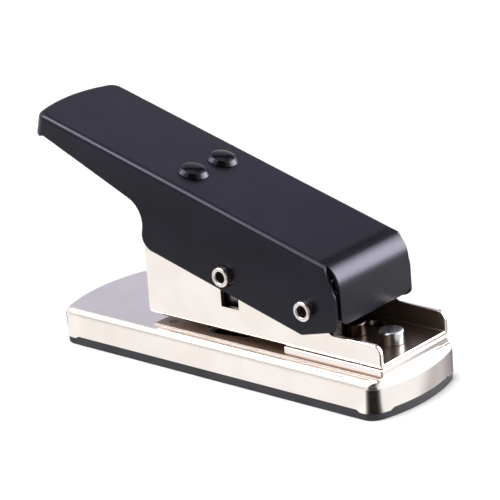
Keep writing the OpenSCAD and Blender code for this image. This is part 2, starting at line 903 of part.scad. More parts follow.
module handle_shell() {
    wide = handle_w + 2 * past;
    slack = [cos(handle_tilt), sin(handle_tilt)] * drive_slack;
    slot_at = [drive_u, drive_w];
    color("#2b2a2f")
        on_handle()
            difference() {
                union() {
                    difference() {
                        intersection() {
                            translate([handle_block_l / 2 - grip_l, 0, handle_top - handle_depth])
                                difference() {
                                    handle_block(0);
                                    mirror([1, 0, 0])
                                        bow_edge_cutter(handle_block_l, grip_bow_r, handle_depth,
                                            handle_bend_r);
                                    handle_block(handle_t, -past);
                                }
                            across(wide) flange_outline();
                        }
                        translate([curl_x, -handle_in_w / 2, -flange_drop - past])
                            cube([curl_r * 2, handle_in_w, handle_depth + past]);
                    }
                    curl_and_flap();
                }
                cross_cylinder(pin_d + 2 * pivot_fit, wide);
                across(wide) round_slot(slot_at - slack, slot_at + slack, slot_d);
                at_handle_rivets() drill(grip_shank_d, handle_top - handle_t, handle_t);
            }
}

// Repeats children at each handle rivet
module at_handle_rivets() {
    for (s = [-1, 1])
        translate([-grip_rivet_back, s * grip_rivet_gap / 2, 0]) children();
}

module handle_stiffener() {
    side_room = 3;
    stiffener_w = handle_in_w - 2 * side_room;
    color("#4a494f")
        on_handle()
            difference() {
                translate([-grip_rivet_back - stiffener_l / 2, -stiffener_w / 2, stiffener_z])
                    cube([stiffener_l, stiffener_w, stiffener_t]);
                at_handle_rivets() drill(grip_shank_d, stiffener_z, stiffener_t);
            }
}

module handle_rivets() {
    crown_r = grip_rivet_d / 2 - grip_skirt_in;
    dome_r = (pow(crown_r, 2) + pow(grip_dome_h, 2)) / (2 * grip_dome_h);
    crown_z = handle_top + grip_skirt_h;
    tail_h = 1.2;
    tail_d = rivet_d * 2.4;
    color("#1f1e22")
        on_handle()
            at_handle_rivets() {
                translate([0, 0, stiffener_z]) cylinder(d = grip_shank_d, h = handle_top - stiffener_z);
                translate([0, 0, stiffener_z - tail_h]) cylinder(d = tail_d, h = tail_h);
                translate([0, 0, handle_top]) cylinder(r1 = grip_rivet_d / 2, r2 = crown_r, h = grip_skirt_h);
                intersection() {
                    translate([0, 0, crown_z + grip_dome_h - dome_r]) sphere(r = dome_r);
                    translate([0, 0, crown_z]) cylinder(r = crown_r, h = grip_dome_h);
                }
            }
}

module punch() {
    color("#a9a7a6")
        difference() {
            pick_prism(punch_z, punch_h);
            at_screws() translate([0, 0, screw_z]) cylinder(d = screw_d, h = screw_grip + past);
        }
}

module crosshead() {
    color("#8f8d8e")
        difference() {
            union() {
                translate([drive_x - head_l / 2, -head_w / 2, punch_top])
                    cube([head_l, head_w, arm_top - punch_top]);
                translate([spring_xs[0] - spring_d / 2, -arm_w / 2, arm_z])
                    cube([spring_xs[1] - spring_xs[0] + spring_d, arm_w, arm_h]);
            }
            translate([drive_x, 0, drive_z]) cross_cylinder(pin_d, head_w + 2 * past);
            at_screws() {
                drill(screw_d, punch_top, arm_top - punch_top);
                translate([0, 0, arm_top - screw_head_h]) cylinder(d = screw_head_d, h = screw_head_h + past);
            }
        }
}

module punch_screws() {
    socket_d = screw_d * 0.75;
    socket_h = screw_head_h / 2;
    color("#3a3a3d")
        at_screws()
            difference() {
                union() {
                    translate([0, 0, screw_z]) cylinder(d = screw_d, h = arm_top - screw_z);
                    translate([0, 0, arm_top - screw_head_h]) cylinder(d = screw_head_d, h = screw_head_h);
                }
                translate([0, 0, arm_top - socket_h])
                    cylinder(d = socket_d, h = socket_h + past, $fn = 6);
            }
}

module drive_pin() {
    color("#e6dfd6")
        translate([drive_x, 0, drive_z]) hollow_pin();
}

base_mat();
base_shell();
backing_plate();
die_plate();
die_rivets();
spacer_plate();
frame();
clamp_posts();
dowels();
guide_plate();
guide_rivets();
spring_posts();
rear_return_spring();
front_return_spring();
pivot_pin();
pivot_sleeve();
handle_shell();
handle_stiffener();
handle_rivets();
punch();
crosshead();
punch_screws();
drive_pin();
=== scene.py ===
import math

import bpy
import bmesh
from mathutils import Matrix, Vector


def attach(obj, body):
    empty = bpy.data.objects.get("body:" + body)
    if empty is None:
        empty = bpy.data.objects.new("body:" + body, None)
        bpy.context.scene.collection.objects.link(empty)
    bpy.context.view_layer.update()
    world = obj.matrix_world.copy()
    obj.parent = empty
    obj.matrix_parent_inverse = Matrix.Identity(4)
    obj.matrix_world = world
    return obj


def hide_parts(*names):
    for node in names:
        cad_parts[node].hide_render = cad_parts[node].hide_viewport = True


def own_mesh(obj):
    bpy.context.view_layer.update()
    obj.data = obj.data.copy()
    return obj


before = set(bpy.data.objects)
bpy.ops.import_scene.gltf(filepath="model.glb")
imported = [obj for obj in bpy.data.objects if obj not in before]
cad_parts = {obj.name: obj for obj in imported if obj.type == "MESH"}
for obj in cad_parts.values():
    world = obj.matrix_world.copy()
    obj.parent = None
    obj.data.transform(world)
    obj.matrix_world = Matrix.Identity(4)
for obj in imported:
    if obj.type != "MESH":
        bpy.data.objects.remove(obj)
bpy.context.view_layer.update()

# Sizes in millimetres and angles in degrees, as in the part's source

# base: plan of the shell, the shell, the mat and the shell's feet
BASE_L, BASE_W, BASE_BOW_R, BASE_CORNER_R = 127, 40, 54, 5
SHELL_TOP, SHELL_EDGE_R, SHELL_T, SHELL_RIM = 11.5, 2.4, 1.0, 1.15
MAT_H, MAT_INSET, MAT_RIM_H, MAT_RIM_T, MAT_RIM_PLAY = 2.8, 0.2, 2.2, 1.6, 0.5
FOOT_DROP, FOOT_X, FOOT_Y, EDGE_GAP = 0.6, 54.55, 13.4, 0.1
DIE_PLAY = 1.1

# handle: pins and their bores, pressed shell, grip, curl with the flap, rivets
PIVOT_X, PIVOT_Z, DRIVE_X, DRIVE_Z, TILT = 35.7, 28.78, 5.63, 33.47, 15.3
PIVOT_BORE, SLOT_BORE, SLOT_STRETCH, RIVET_BORE = 6.1, 6.7, 0.36, 4.5
HANDLE_W, HANDLE_T, HANDLE_TOP, FLANGE_DROP, BEND_R = 35.4, 1.2, 15.93, 8.4, 1.8
GRIP_L, GRIP_BOW_R, GRIP_CORNER_R, GRIP_DEPTH, GRIP_RISE = 111.7, 55, 4, 5.7, 8
FLAP_REACH, FLAP_LEAN, FLAP_W, FLAP_CORNER_R = 12.3, 16.3, 32.2, 2.5
CURL_R, CURL_ROOT_W, CURL_ROOT_X = 7.4, 33.1, 3.7
CURL = ((20, 11), (6.7, 48), (11, 14.7))
NOSE_X, NOSE_Z = 0.1, -1.6
RIVET_BACK, RIVET_PITCH, RIVET_R, RIVET_EDGE = 55.1, 13.2, 4.7, 0.25
CROWN_R, CROWN_H, DOME_H, SHANK_R = 3.8, 1.45, 0.75, 2.25
RIVET_GRIP, UPSET_R, UPSET_H = 3.2, 3.6, 1.2

# springs, how the edges of the plain pieces are broken, and how near points are to be merged, in metres
SPRING_XS, SPRING_LOW, SPRING_HIGH = (-14.97, 26.23), 19.0, 32.72
SHARP, FRONT_ROUND, FRAME_FRONT, SPACER_FRONT = 35, 0.45, 40, 20
WELD, COARSE_WELD = 2e-6, 5e-6

# heights below which level faces stay dull (on the frame also painted darker, as shade), and the x behind which
# the rear post is painted dark, as shade under the curl
FRAME_DULL_SHADE_Z, DIE_DULL_Z, POST_SHADE_X = 17, 13, 49


def mm(*v):
    """Millimetres as a vector in metres."""
    return Vector([c / 1000 for c in v])


# Hand tools

def lay_aside():
    """Leaves edit mode and deselects everything, so the next operator acts on one piece only."""
    if bpy.context.mode != "OBJECT":
        bpy.ops.object.mode_set(mode="OBJECT")
    bpy.ops.object.select_all(action="DESELECT")


def take_up(obj, edit=False):
    """Makes one piece the selected and active one."""
    lay_aside()
    obj.select_set(True)
    bpy.context.view_layer.objects.active = obj
    if edit:
        bpy.ops.object.mode_set(mode="EDIT")
    return obj


def pick_out(obj, test, kind="EDGE"):
    """Selects the edges, faces or vertices of the piece being edited whose middle passes the test."""
    bpy.ops.mesh.select_mode(type=kind)
    bpy.ops.mesh.select_all(action="DESELECT")
    mesh = bmesh.from_edit_mesh(obj.data)
    if kind == "VERT":
        for v in mesh.verts:
            v.select_set(test(v.co * 1000))
    elif kind == "EDGE":
        for e in mesh.edges:
            e.select_set(test(*(v.co * 1000 for v in e.verts)))
    else:
        for f in mesh.faces:
            f.select_set(test(f.calc_center_median() * 1000, f.normal))
    mesh.select_flush_mode()
    bmesh.update_edit_mesh(obj.data)


def let_go(obj, test):
    """Deselects the selected edges of the piece being edited that fail the test."""
    mesh = bmesh.from_edit_mesh(obj.data)
    for e in mesh.edges:
        if e.select and not test(*(v.co * 1000 for v in e.verts)):
            e.select_set(False)
    mesh.select_flush_mode()
    bmesh.update_edit_mesh(obj.data)


def number_by_place(obj):
    """Numbers the points, edges and faces of the piece being edited by their place along a slant, because
    a cut can number them in another order on each run, and merging depends on that order."""
    slant = Vector((1, 1.618, 2.718))
    mesh = bmesh.from_edit_mesh(obj.data)
    mesh.verts.sort(key=lambda v: v.co.dot(slant))
    mesh.edges.sort(key=lambda e: (e.verts[0].co + e.verts[1].co).dot(slant))
    mesh.faces.sort(key=lambda f: f.calc_center_median().dot(slant))
    bmesh.update_edit_mesh(obj.data)


def trace(name, start, strokes, axis=(0, 0, 1)):
    """Draws an outline from one point: a stroke is a point to draw a line to,
    or (centre, degrees, steps) for an arc."""
    lay_aside()
    bpy.ops.mesh.primitive_plane_add(size=0.001, location=mm(*start))
    obj = bpy.context.object
    obj.name = obj.data.name = name
    bpy.ops.object.transform_apply()
    bpy.ops.object.mode_set(mode="EDIT")
    bpy.ops.mesh.select_mode(type="VERT")
    bpy.ops.mesh.select_all(action="SELECT")
    bpy.ops.mesh.merge(type="CENTER")
    at = Vector(start)
    for stroke in strokes:
        if isinstance(stroke[0], (int, float)):
            bpy.ops.mesh.extrude_vertices_move(TRANSFORM_OT_translate={"value": mm(*(Vector(stroke) - at))})
            at = Vector(stroke)
        else:
            centre, turn, steps = stroke
            bpy.ops.mesh.spin(steps=steps, angle=-math.radians(turn), center=mm(*centre), axis=axis)
            at = Vector(centre) + Matrix.Rotation(math.radians(turn), 3, axis) @ (at - Vector(centre))
    bpy.ops.mesh.select_all(action="SELECT")
    bpy.ops.mesh.remove_doubles(threshold=WELD)
    return obj


def fill_and_raise(obj, by):
    """Closes the traced outline with a face and pulls it into a block."""
    bpy.ops.mesh.select_all(action="SELECT")
    bpy.ops.mesh.edge_face_add()
    bpy.ops.mesh.extrude_region_move(TRANSFORM_OT_translate={"value": mm(*by)})
    bpy.ops.mesh.select_all(action="SELECT")
    bpy.ops.mesh.normals_make_consistent(inside=False)
    bpy.ops.object.mode_set(mode="OBJECT")
    return obj


def work(obj, kind, **settings):
    """Adds a modifier and applies it at once."""
    take_up(obj)
    m = obj.modifiers.new(kind.title(), kind)
    for k, v in settings.items():
        setattr(m, k, v)
    bpy.ops.object.modifier_apply(modifier=m.name)
    return obj


def cut(obj, tool, operation="DIFFERENCE"):
    """Cuts, joins or trims a piece with a tool, which is used up."""
    work(obj, "BOOLEAN", operation=operation, object=tool, solver="EXACT")
    bpy.data.objects.remove(tool, do_unlink=True)
    return obj


def drill(name, d, length, at, axis="Z"):
    """A round tool of diameter d for boring holes."""
    lay_aside()
    turn = {"Z": (0, 0, 0), "Y": (math.pi / 2, 0, 0)}[axis]
    bpy.ops.mesh.primitive_cylinder_add(
        vertices=64, radius=d / 2000, depth=length / 1000, location=mm(*at), rotation=turn)
    bpy.ops.object.transform_apply()
    bpy.context.object.name = name
    return bpy.context.object


def ease_edges(obj, width, segments=2, angle=SHARP):
    """Breaks the sharp edges by a small round of the given width."""
    return work(obj, "BEVEL", width=width / 1000, segments=segments, limit_method="ANGLE",
                angle_limit=math.radians(angle), use_clamp_overlap=True, miter_outer="MITER_ARC")


def round_front(obj, from_x, width=FRONT_ROUND):
    """Rounds the sharp edges that lie wholly in front of the given x."""
    take_up(obj, edit=True)
    bpy.ops.mesh.select_mode(type="EDGE")
    bpy.ops.mesh.select_all(action="DESELECT")
    bpy.ops.mesh.edges_select_sharp(sharpness=math.radians(SHARP))
    let_go(obj, lambda a, b: min(a.x, b.x) > from_x)
    bpy.ops.mesh.bevel(offset=width / 1000, segments=4, affect="EDGES", clamp_overlap=False, miter_outer="ARC")
    lay_aside()


def set_in_place(obj, node, body, finish, smooth=SHARP):
    """Finishes a piece: smooth shading, material, and the CAD node and body that it stands for."""
    take_up(obj)
    bpy.ops.object.shade_smooth_by_angle(angle=math.radians(smooth))
    work(obj, "WEIGHTED_NORMAL", weight=80, keep_sharp=True)
    obj.data.materials.clear()
    obj.data.materials.append(finish)
    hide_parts(node)
    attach(obj, body)
    return obj


def dressed(node, body, finish, edge, segments=2, front=None):
    """A merged copy of a CAD node with its edges broken, and rounded more in front of a given x."""
    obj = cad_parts[node].copy()
    obj.data = obj.data.copy()
    obj.name = obj.data.name = node + ".finished"
    obj.parent = None
    obj.matrix_world = Matrix.Identity(4)
    bpy.context.collection.objects.link(obj)
    take_up(obj, edit=True)
    bpy.ops.mesh.select_mode(type="VERT")
    bpy.ops.mesh.select_all(action="SELECT")
    bpy.ops.mesh.remove_doubles(threshold=WELD)
    bpy.ops.mesh.dissolve_limited(angle_limit=math.radians(1.5))
    bpy.ops.object.mode_set(mode="OBJECT")
    if front:
        round_front(obj, front)
    ease_edges(obj, edge, segments)
    return set_in_place(obj, node, body, finish)


# Materials

def linear(hex_colour):
    """An sRGB hex colour as linear RGBA."""
    parts = [int(hex_colour[i:i + 2], 16) / 255 for i in (1, 3, 5)]
    return [c / 12.92 if c <= 0.04045 else ((c + 0.055) / 1.055) ** 2.4 for c in parts] + [1]


def add(tree, kind, inputs=None, stops=(), **settings):
    """Adds a node: properties and sockets by name, inputs linked or set, and colour stops in order."""
    node = tree.nodes.new("ShaderNode" + kind)
    for k, v in settings.items():
        if hasattr(node, k):
            setattr(node, k, v)
        else:
            node.inputs[k.replace("_", " ")].default_value = v
    for k, source in (inputs or {}).items():
        if isinstance(source, bpy.types.NodeSocket):
            tree.links.new(source, node.inputs[k])
        else:
            node.inputs[k].default_value = source
    if stops:
        ramp = node.color_ramp.elements
        while len(ramp) < len(stops):
            ramp.new(0.5)
        for stop, (at, colour) in zip(ramp, stops):
            stop.position, stop.color = at, linear(colour)
    return node


def blank(name):
    """A new material with an empty node tree and its Object coordinates."""
    material = bpy.data.materials.new(name)
    material.use_nodes = True
    tree = material.node_tree
    tree.nodes.clear()
    return material, tree, add(tree, "TexCoord").outputs["Object"]


# Sizes of what the surfaces show, in millimetres. Lines are given along X, Y and Z. Drawn, ground and turned
# lines are really finer than a tenth of a millimetre, and are drawn this coarse to show.
CLOUD, PEEL, COAT_DUST, PEBBLE, MAT_DUST = 14.3, 0.714, 11.1, 0.625, 8.33
STRIP_LINES, SHELL_LINES = (16.7, 1.11, 1.11), (2.38, 2.38, 25)
GROUND_LINES, TURNED_LINES = (12.5, 0.556, 0.556), (1.11, 1.11, 1.11)

# where the two tones of a surface lie on its noise
DARK_AT, LIGHT_AT = 0.3, 0.7


def plated_nickel(name, grain, waviness, low=0.05, high=0.10, dull_shade_below=0, dull_shade_tone="#6e5f55", film=0.0):
    """Bright nickel over polished steel: a warm white mirror with faint drawing lines and soft waviness.
    Level faces below the given height, and faces that look inwards, stay unpolished: a dull brownish grey
    under a film that scatters its share of the light. On the frame this brown is partly painted shade, for the
    dark inside the channel under the handle."""
    material, tree, place = blank(name)
    lines = add(tree, "Mapping", {"Vector": place, "Scale": [1000 / g for g in grain]})
    streaks = add(tree, "TexNoise", {"Vector": lines.outputs[0]}, Scale=1, Detail=3)
    clouds = add(tree, "TexNoise", {"Vector": place}, Scale=1000 / CLOUD, Detail=4)
    colour = add(tree, "ValToRGB", {"Fac": clouds.outputs[0]},
                 [(DARK_AT, "#efe6e0"), (LIGHT_AT, "#f8f0ea")]).outputs[0]
    polish = add(tree, "MapRange", {"Value": streaks.outputs[0]}, To_Min=low, To_Max=high).outputs[0]
    bump = add(tree, "Bump", {"Height": streaks.outputs[0]}, Strength=waviness, Distance=0.0004)
    surface = add(tree, "BsdfPrincipled", {"Normal": bump.outputs[0]}, Metallic=1.0)
    if dull_shade_below:
        facing = add(tree, "SeparateXYZ", {0: add(tree, "TexCoord").outputs["Normal"]})
        spot = add(tree, "SeparateXYZ", {0: place})
        level = add(tree, "MapRange", {"Value": facing.outputs["Z"]}, From_Min=0.85, From_Max=0.95)
        beneath = add(tree, "MapRange", {"Value": spot.outputs["Z"]},
                      From_Min=dull_shade_below / 1000, From_Max=dull_shade_below / 1000 - 5e-4)
        inner = add(tree, "Math", {0: level.outputs[0], 1: beneath.outputs[0]}, operation="MULTIPLY")
        across = add(tree, "Math", {0: facing.outputs["Y"], 1: spot.outputs["Y"]}, operation="MULTIPLY")
        inward = add(tree, "MapRange", {"Value": across.outputs[0]}, From_Min=-0.004, From_Max=-0.010)
        dull = add(tree, "Math", {0: inner.outputs[0], 1: inward.outputs[0]}, operation="MAXIMUM").outputs[0]
        # painted shade: on the frame this brown tone darkens the floor and inner walls, for the dark under the
        # handle
        colour = add(tree, "Mix", {0: dull, 6: colour, 7: linear(dull_shade_tone)}, data_type="RGBA").outputs[2]
        polish = add(tree, "Mix", {0: dull, 2: polish, 3: 0.28}).outputs[0]
        bare = add(tree, "MapRange", {"Value": dull}, To_Min=1.0, To_Max=1 - film)
        tree.links.new(bare.outputs[0], surface.inputs["Metallic"])
    tree.links.new(colour, surface.inputs["Base Color"])
    tree.links.new(polish, surface.inputs["Roughness"])
    add(tree, "OutputMaterial", {"Surface": surface.outputs[0]})
    return material


def powder_coat(name, dark, light, low, high, ior):
    """Black coat on steel: a dark lilac film with fine orange peel, and a roughness that sets how soft
    its highlights are."""
    material, tree, place = blank(name)
    peel = add(tree, "TexNoise", {"Vector": place}, Scale=1000 / PEEL, Detail=2)
    dust = add(tree, "TexNoise", {"Vector": place}, Scale=1000 / COAT_DUST, Detail=5)
    colour = add(tree, "ValToRGB", {"Fac": dust.outputs[0]}, [(DARK_AT, dark), (LIGHT_AT, light)])
    rough = add(tree, "MapRange", {"Value": dust.outputs[0]}, To_Min=low, To_Max=high)
    bump = add(tree, "Bump", {"Height": peel.outputs[0]}, Strength=0.05, Distance=0.0001)
    surface = add(tree, "BsdfPrincipled", {
        "Base Color": colour.outputs[0], "Roughness": rough.outputs[0], "Normal": bump.outputs[0]},
        IOR=ior, Specular_Tint=linear("#ebe8ff"))
    add(tree, "OutputMaterial", {"Surface": surface.outputs[0]})
    return material


def moulded_rubber():
    """Moulded rubber: dull charcoal with a fine pebbled skin."""
    material, tree, place = blank("moulded_rubber")
    pebble = add(tree, "TexVoronoi", {"Vector": place}, Scale=1000 / PEBBLE)
    dust = add(tree, "TexNoise", {"Vector": place}, Scale=1000 / MAT_DUST, Detail=5)
    colour = add(tree, "ValToRGB", {"Fac": dust.outputs[0]}, [(DARK_AT, "#2b2a30"), (LIGHT_AT, "#36353b")])
    bump = add(tree, "Bump", {"Height": pebble.outputs[0]}, Strength=0.2, Distance=0.0002)
    surface = add(tree, "BsdfPrincipled", {
        "Base Color": colour.outputs[0], "Normal": bump.outputs[0]}, Roughness=0.75, IOR=1.45)
    add(tree, "OutputMaterial", {"Surface": surface.outputs[0]})
    return material


def metal(name, dark, light, low, high, grain=TURNED_LINES, shade_behind=0):
    """A worked steel: grinding or drawing lines, with a slight change of tone between them.
    Behind the given x its colour is painted dark brown, as shade under the handle's curl."""
    material, tree, place = blank(name)
    lines = add(tree, "Mapping", {"Vector": place, "Scale": [1000 / g for g in grain]})
    streaks = add(tree, "TexNoise", {"Vector": lines.outputs[0]}, Scale=1, Detail=4)
    colour = add(tree, "ValToRGB", {"Fac": streaks.outputs[0]},
                 [(DARK_AT, dark), (LIGHT_AT, light)]).outputs[0]
    rough = add(tree, "MapRange", {"Value": streaks.outputs[0]}, To_Min=low, To_Max=high)
    bump = add(tree, "Bump", {"Height": streaks.outputs[0]}, Strength=0.06, Distance=0.0001)
    if shade_behind:
        spot = add(tree, "SeparateXYZ", {0: place})
        behind = add(tree, "MapRange", {"Value": spot.outputs["X"]},
                     From_Min=shade_behind / 1000, From_Max=shade_behind / 1000 - 1e-3)
        # painted shade: behind the given x the colour turns dark brown, for the dim under the handle's curl
        colour = add(tree, "Mix", {0: behind.outputs[0], 6: colour, 7: linear("#4a3f38")},
                     data_type="RGBA").outputs[2]
    surface = add(tree, "BsdfPrincipled", {
        "Base Color": colour, "Roughness": rough.outputs[0], "Normal": bump.outputs[0]}, Metallic=1.0)
    add(tree, "OutputMaterial", {"Surface": surface.outputs[0]})
    return material


# rolled strip, plated bright: a near mirror, lined along its length
nickel = plated_nickel("bright_nickel_strip", STRIP_LINES, 0.02)
# the frame's strip: the same, with its floor and inner walls left dull and painted darker brown, partly as
# painted shade under the handle
frame_nickel = plated_nickel("bright_nickel_frame", STRIP_LINES, 0.02, dull_shade_below=FRAME_DULL_SHADE_Z, film=0.15)
# the die's strip, ground on top: a tan film of oil and dust hides most of the mirror
die_nickel = plated_nickel("ground_die_plate", STRIP_LINES, 0.02, dull_shade_below=DIE_DULL_Z,
                           dull_shade_tone="#806855", film=0.6)
# the base's shell, deep drawn and plated: lines down its sides make the mirror satin
drawn_nickel = plated_nickel("bright_nickel_shell", SHELL_LINES, 0.04, 0.17, 0.24)
# turned and plated: bright ends with soft highlights
pin_nickel = metal("satin_nickel_pin", "#ddd5d0", "#ebe4df", 0.22, 0.30)
# turned and left bare: pale grey, with painted shade in dark brown on the rear post under the curl
turned_steel = metal("turned_steel", "#c2c2c4", "#d6d6d7", 0.20, 0.28, shade_behind=POST_SHADE_X)
# baked powder: satin black
black_paint = powder_coat("satin_powder_coat", "#0c0b11", "#121118", 0.24, 0.30, 1.33)
# stoved enamel: deeper black with sharper highlights
rivet_enamel = powder_coat("gloss_rivet_enamel", "#030304", "#060608", 0.16, 0.20, 1.34)
rubber = moulded_rubber()
# ground flat: mid grey with straight lines
steel = metal("ground_tool_steel", "#8f8c8a", "#b3b0ae", 0.25, 0.4, GROUND_LINES)
# the same under old oil: brown and dim
oiled_steel = metal("oiled_rivet_steel", "#4b423c", "#5a5049", 0.3, 0.4)
# drawn wire: pale and bright
spring_wire = metal("drawn_spring_steel", "#a9a6a5", "#c4c1bf", 0.2, 0.35)
# blacked in a hot bath: almost black, with a soft sheen
black_oxide = metal("black_oxide_steel", "#2f2f32", "#3d3d41", 0.35, 0.5)


# Base

def bowed_outline(name, l, w, bow_r, corner_r, z):
    """Plan of the base: straight sides, bowed ends, round corners."""
    bow_x = l / 2 - bow_r
    y = w / 2 - corner_r
    corner_x = bow_x + math.sqrt((bow_r - corner_r) ** 2 - y * y)
    half = math.degrees(math.atan2(y, corner_x - bow_x))
    strokes = []
    for s in (1, -1):
        strokes += [(s * corner_x, -s * w / 2, z), ((s * corner_x, -s * y, z), 90 - half, 10),
                    ((s * bow_x, 0, z), 2 * half, 24), ((s * corner_x, s * y, z), 90 - half, 10)]
    return trace(name, (-corner_x, -w / 2, z), strokes)


def notch_tool(sx, sy):
    """What is cut from a corner of the mat to take the shell's foot."""
    lay_aside()
    reach, wall = 20, 1.2
    shift = reach / 2 - FOOT_DROP
    bpy.ops.mesh.primitive_cube_add(size=reach / 1000, location=mm(
        sx * (FOOT_X + shift), sy * (FOOT_Y + shift), MAT_H + shift))
    tool = bpy.context.object
    bpy.ops.object.transform_apply()
    core = bowed_outline("notch_core", BASE_L - 2 * wall, BASE_W - 2 * wall,
                         BASE_BOW_R - wall, BASE_CORNER_R - wall, 0)
    return cut(tool, fill_and_raise(core, (0, 0, 30)))


def edge_relief(run, across_ends):
    """What the shell's lower edge stands back by, between the feet along its sides or across its ends."""
    wide, narrow = run + FOOT_DROP, run - FOOT_DROP
    low, high = MAT_H - FOOT_DROP - 0.02, MAT_H + EDGE_GAP
    toe_r, heel_r, depth, half_reach = 0.3, 0.8, 0.98, 80
    tool = side_tool("edge_relief", [
        (-wide, low - depth, 0), (wide, low - depth, 0), (wide, low, toe_r), (narrow, high, heel_r),
        (-narrow, high, heel_r), (-wide, low, toe_r)], -half_reach, 2 * half_reach)
    if across_ends:
        take_up(tool)
        tool.matrix_world = Matrix.Rotation(math.pi / 2, 4, "Z")
        bpy.ops.object.transform_apply()
    return tool


def base_mat():
    """A slab with a rim that stands inside the shell, notched at the corners for its feet."""
    mat = fill_and_raise(bowed_outline("base_mat.moulded", BASE_L - 2 * MAT_INSET, BASE_W - 2 * MAT_INSET,
                                       BASE_BOW_R - MAT_INSET, BASE_CORNER_R - MAT_INSET, 0), (0, 0, MAT_H))
    take_up(mat, edit=True)
    pick_out(mat, lambda c, n: n.z > 0.9, "FACE")
    bpy.ops.mesh.inset(thickness=(SHELL_RIM + MAT_RIM_PLAY) / 1000)
    bpy.ops.mesh.extrude_region_move(TRANSFORM_OT_translate={"value": mm(0, 0, MAT_RIM_H)})
    bpy.ops.mesh.inset(thickness=MAT_RIM_T / 1000)
    bpy.ops.mesh.extrude_region_move(TRANSFORM_OT_translate={"value": mm(0, 0, -MAT_RIM_H)})
    lay_aside()
    ease_edges(mat, 0.35, 3)
    for sx in (-1, 1):
        for sy in (-1, 1):
            cut(mat, notch_tool(sx, sy))
    return set_in_place(mat, "base_mat", "base", rubber)


def pick_tool(z0, z1, grow):
    """The pick's outline as a cutting tool, tip to the front."""
    tip, shoulder, side_r = Vector((11.5, 0)), Vector((-9.5, 8.3)), 34
    tip_r, shoulder_r = 3.5, 4.7

    def arc_centre(a, ra, b, rb):
        d = (b - a).length
        x = ((side_r - ra) ** 2 - (side_r - rb) ** 2 + d * d) / (2 * d)
        u = (b - a) / d
        return a + u * x + Vector((-u.y, u.x)) * math.sqrt((side_r - ra) ** 2 - x * x)

    corners = [(tip, tip_r), (shoulder, shoulder_r), (Vector((shoulder.x, -shoulder.y)), shoulder_r)]
    sides = [arc_centre(*corners[i], *corners[(i + 1) % 3]) for i in range(3)]

    def place(v):
        return DRIVE_X + v.x, v.y, z0

    strokes = []
    for i in range(3):
        a, b = corners[i][0], corners[(i + 1) % 3][0]
        strokes.append((place(a), math.degrees((a - sides[i - 1]).angle(a - sides[i])), 10))
        strokes.append((place(sides[i]), math.degrees((a - sides[i]).angle(b - sides[i])), 12))
    first = tip + (tip - sides[-1]).normalized() * (tip_r + grow)
    return fill_and_raise(trace("pick_tool", place(first), strokes), (0, 0, z1 - z0))


def base_shell():
    """The drawn shell: a block with a rounded top edge, hollowed, its lower edge set back between the feet."""
    foot = MAT_H - FOOT_DROP
    shell = fill_and_raise(bowed_outline("base_shell.drawn", BASE_L, BASE_W, BASE_BOW_R, BASE_CORNER_R, foot),
                           (0, 0, SHELL_TOP - foot))
    take_up(shell, edit=True)
    pick_out(shell, lambda a, b: a.z > SHELL_TOP - 0.01 and b.z > SHELL_TOP - 0.01)
    bpy.ops.mesh.bevel(offset=SHELL_EDGE_R / 1000, segments=8, profile=0.5, clamp_overlap=True)
    pick_out(shell, lambda c, n: n.z < -0.9 and c.z < foot + 0.01, "FACE")
    bpy.ops.mesh.delete(type="FACE")
    lay_aside()
    work(shell, "SOLIDIFY", thickness=SHELL_T / 1000, offset=-1, use_even_offset=True)
    cut(shell, edge_relief(FOOT_X, False))
    cut(shell, edge_relief(FOOT_Y, True))
    cut(shell, pick_tool(SHELL_TOP - 3, SHELL_TOP + 1, DIE_PLAY))
    ease_edges(shell, 0.15, 2, 50)
    return set_in_place(shell, "base_shell", "base", drawn_nickel)


# Handle, drawn with the pivot at the origin and its top level, then tilted into place

def tilt(obj):
    """Turns a piece of the handle to its raised rest and sets it on the pivot."""
    take_up(obj)
    obj.matrix_world = Matrix.Translation(mm(PIVOT_X, 0, PIVOT_Z)) @ Matrix.Rotation(math.radians(TILT), 4, "Y")
    bpy.ops.object.transform_apply()
    return obj


def flap_x(w):
    """Where the flap's leaning front is at a height."""
    return FLAP_REACH - w * math.tan(math.radians(FLAP_LEAN))


def rounded(points):
    """Goes round a polygon in X and Z with corners (x, z, radius): for each, the point where its arc starts,
    the arc's centre and its turn."""
    n, strokes = len(points), []
    for i, (x, z, r) in enumerate(points):
        b = Vector((x, z))
        a, c = (Vector(points[(i + k) % n][:2]) for k in (-1, 1))
        u, v = (a - b).normalized(), (c - b).normalized()
        half = u.angle(v) / 2
        start = b + u * (r / math.tan(half))
        if r:
            o = b + (u + v).normalized() * (r / math.sin(half))
            turn = 180 - 2 * math.degrees(half)
            cross = u.x * v.y - u.y * v.x
            strokes.append((start, o, turn if cross < 0 else -turn))
        else:
            strokes.append((b, None, 0))
    return strokes


def side_tool(name, points, y, width):
    """A tool with a side outline of rounded corners, running across the handle from y."""
    strokes, first = [], None
    for start, centre, turn in rounded(points):
        at = (start.x, y, start.y)
        if first is None:
            first = at
        else:
            strokes.append(at)
        if centre:
            # about Y, a turn from X towards Z is negative
            strokes.append(((centre.x, y, centre.y), -turn, 10))
    return fill_and_raise(trace(name, first, strokes, (0, 1, 0)), (0, width, 0))


